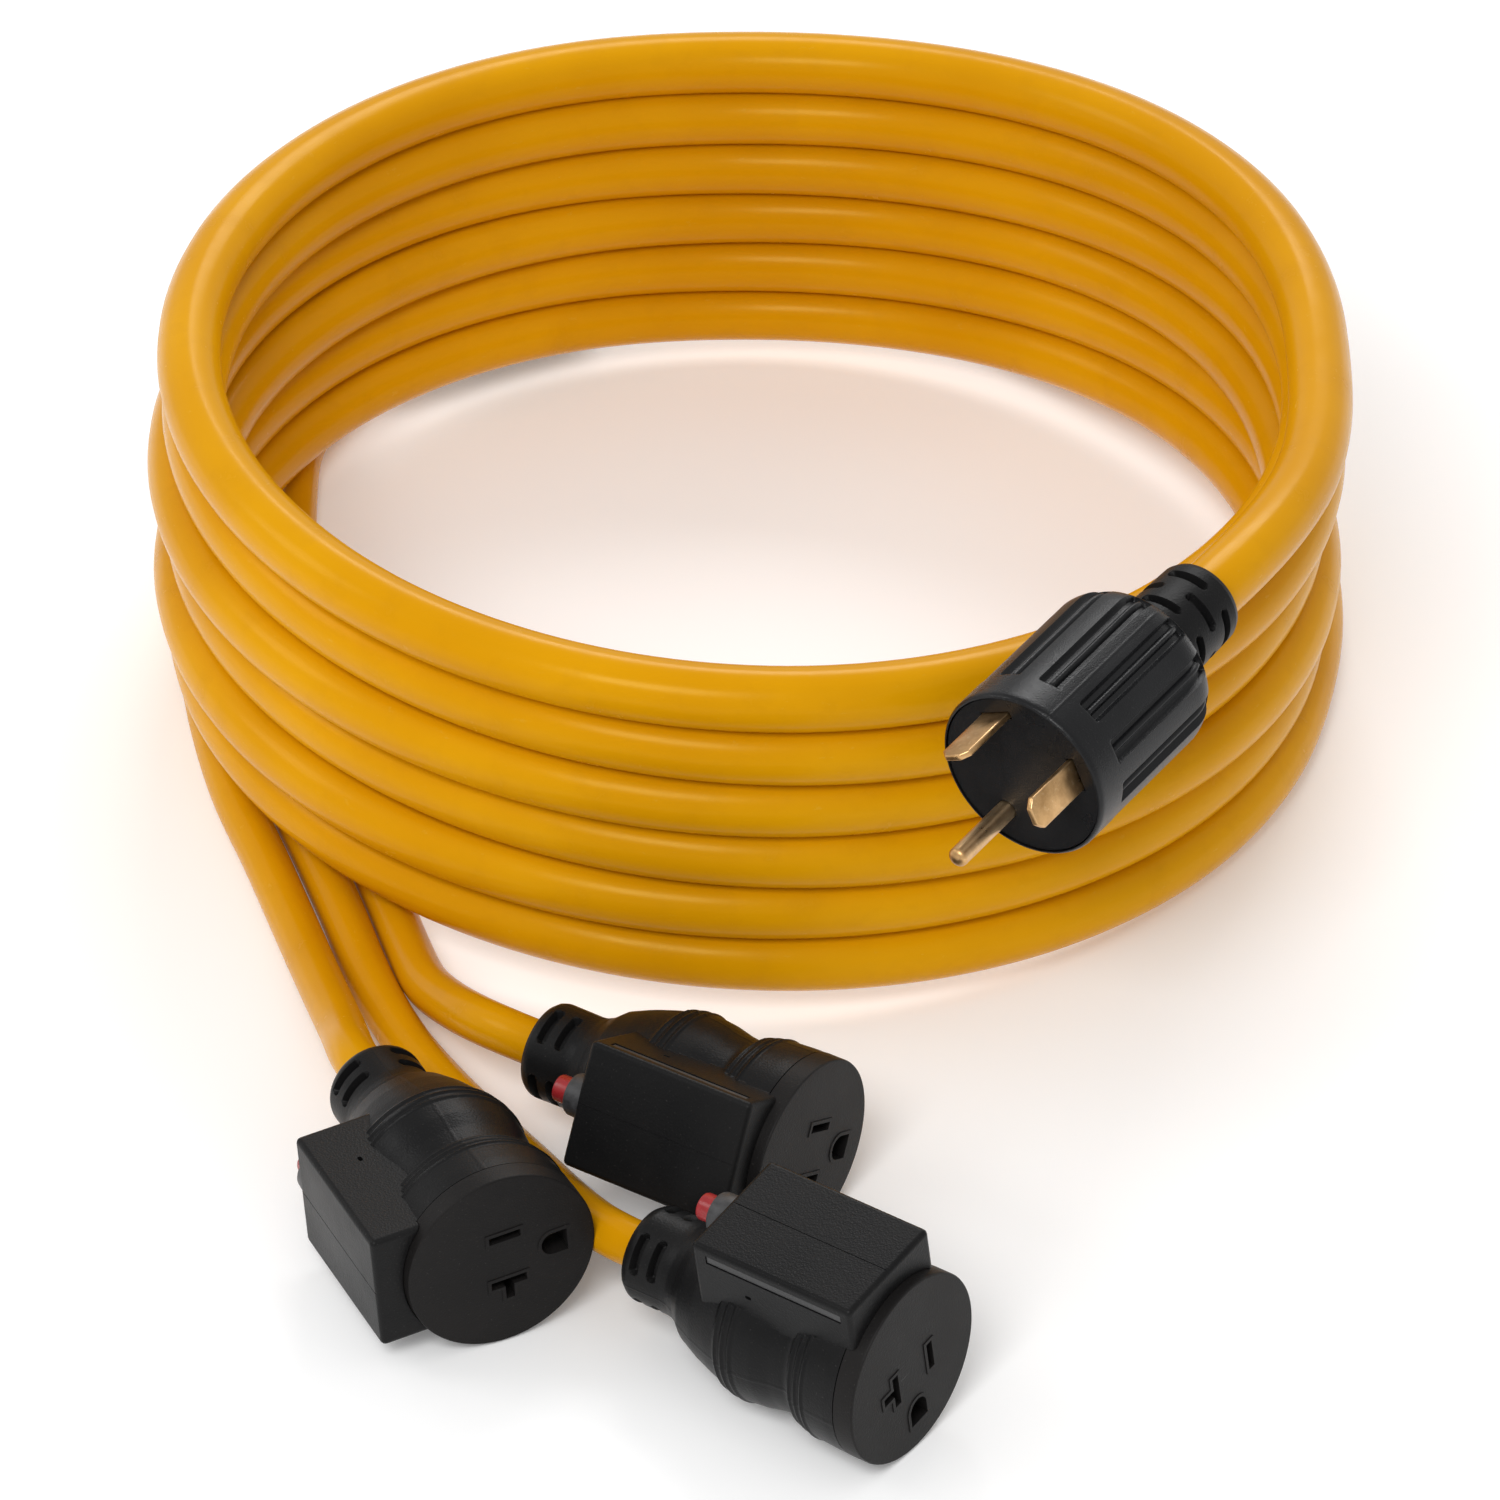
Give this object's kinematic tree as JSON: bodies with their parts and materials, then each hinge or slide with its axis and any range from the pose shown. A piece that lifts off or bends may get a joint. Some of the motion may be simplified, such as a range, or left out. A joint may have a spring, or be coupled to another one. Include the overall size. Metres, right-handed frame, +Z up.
{
  "type": "shore power cord",
  "caption": "Coiled yellow shore power cord with an angled-blade plug, a splitter and black breaker outlets on short tails.",
  "frame": {"origin": "on the floor, under the middle of the box around the plug, the outlets and the splitter", "axes": "+Z up; +Y from the outlets towards the splitter behind the coil; the plug is at +X"},
  "size_m": [0.2863, 0.4908, 0.123],
  "materials": {
    "cord_jacket": "soft gloss yellow jacket",
    "body_plastic": "fine-grained satin black",
    "face_plastic": "fine-grained charcoal",
    "brass": "brushed",
    "copper": "bare copper alloy",
    "button": "dark red",
    "collar": "grey",
    "breaker": "phenolic",
    "spring": "drawn wire"
  },
  "bodies": {
    "root": {"coil": "cord_jacket", "outlet_a_body": "body_plastic", "outlet_a_breaker_case": "breaker", "outlet_a_breaker_tab_line": "copper", "outlet_a_breaker_tab_load": "copper", "outlet_a_button_collar": "collar", "outlet_a_button_spring": "spring", "outlet_a_contact_ground": "brass", "outlet_a_contact_hot": "brass", "outlet_a_contact_neutral": "brass", "outlet_a_face": "face_plastic", "outlet_b_body": "body_plastic", "outlet_b_breaker_case": "breaker", "outlet_b_breaker_tab_line": "copper", "outlet_b_breaker_tab_load": "copper", "outlet_b_button_collar": "collar", "outlet_b_button_spring": "spring", "outlet_b_contact_ground": "brass", "outlet_b_contact_hot": "brass", "outlet_b_contact_neutral": "brass", "outlet_b_face": "face_plastic", "outlet_c_body": "body_plastic", "outlet_c_breaker_case": "breaker", "outlet_c_breaker_tab_line": "copper", "outlet_c_breaker_tab_load": "copper", "outlet_c_button_collar": "collar", "outlet_c_button_spring": "spring", "outlet_c_contact_ground": "brass", "outlet_c_contact_hot": "brass", "outlet_c_contact_neutral": "brass", "outlet_c_face": "face_plastic", "plug_blade_hot": "brass", "plug_blade_neutral": "brass", "plug_core": "face_plastic", "plug_crimp_ground": "copper", "plug_crimp_hot": "copper", "plug_crimp_neutral": "copper", "plug_ground_pin": "brass", "plug_lead": "cord_jacket", "plug_shell": "body_plastic", "plug_strain_relief": "body_plastic", "splitter_crimp_ground": "copper", "splitter_crimp_hot": "copper", "splitter_crimp_neutral": "copper", "splitter_lower_shell": "body_plastic", "splitter_tail_boot": "body_plastic", "splitter_trunk_snout": "body_plastic", "splitter_upper_shell": "body_plastic", "tail_a": "cord_jacket", "tail_b": "cord_jacket", "tail_c": "cord_jacket", "trunk_lead": "cord_jacket"},
    "button_a": {"outlet_a_reset_button": "button"},
    "button_b": {"outlet_b_reset_button": "button"},
    "button_c": {"outlet_c_reset_button": "button"}
  },
  "joints": [
    {"name": "button_a_travel", "type": "slide", "parent": "root", "child": "button_a", "axis": [0.4271, -0.9036, 0.0314], "range_m": [-0.0015, 0.0025], "stiffness_N_per_m": 400},
    {"name": "button_b_travel", "type": "slide", "parent": "root", "child": "button_b", "axis": [0.8024, -0.5959, 0.0314], "range_m": [-0.0015, 0.0025], "stiffness_N_per_m": 400},
    {"name": "button_c_travel", "type": "slide", "parent": "root", "child": "button_c", "axis": [0.8338, -0.5519, 0.0175], "range_m": [-0.0015, 0.0025], "stiffness_N_per_m": 400}
  ]
}
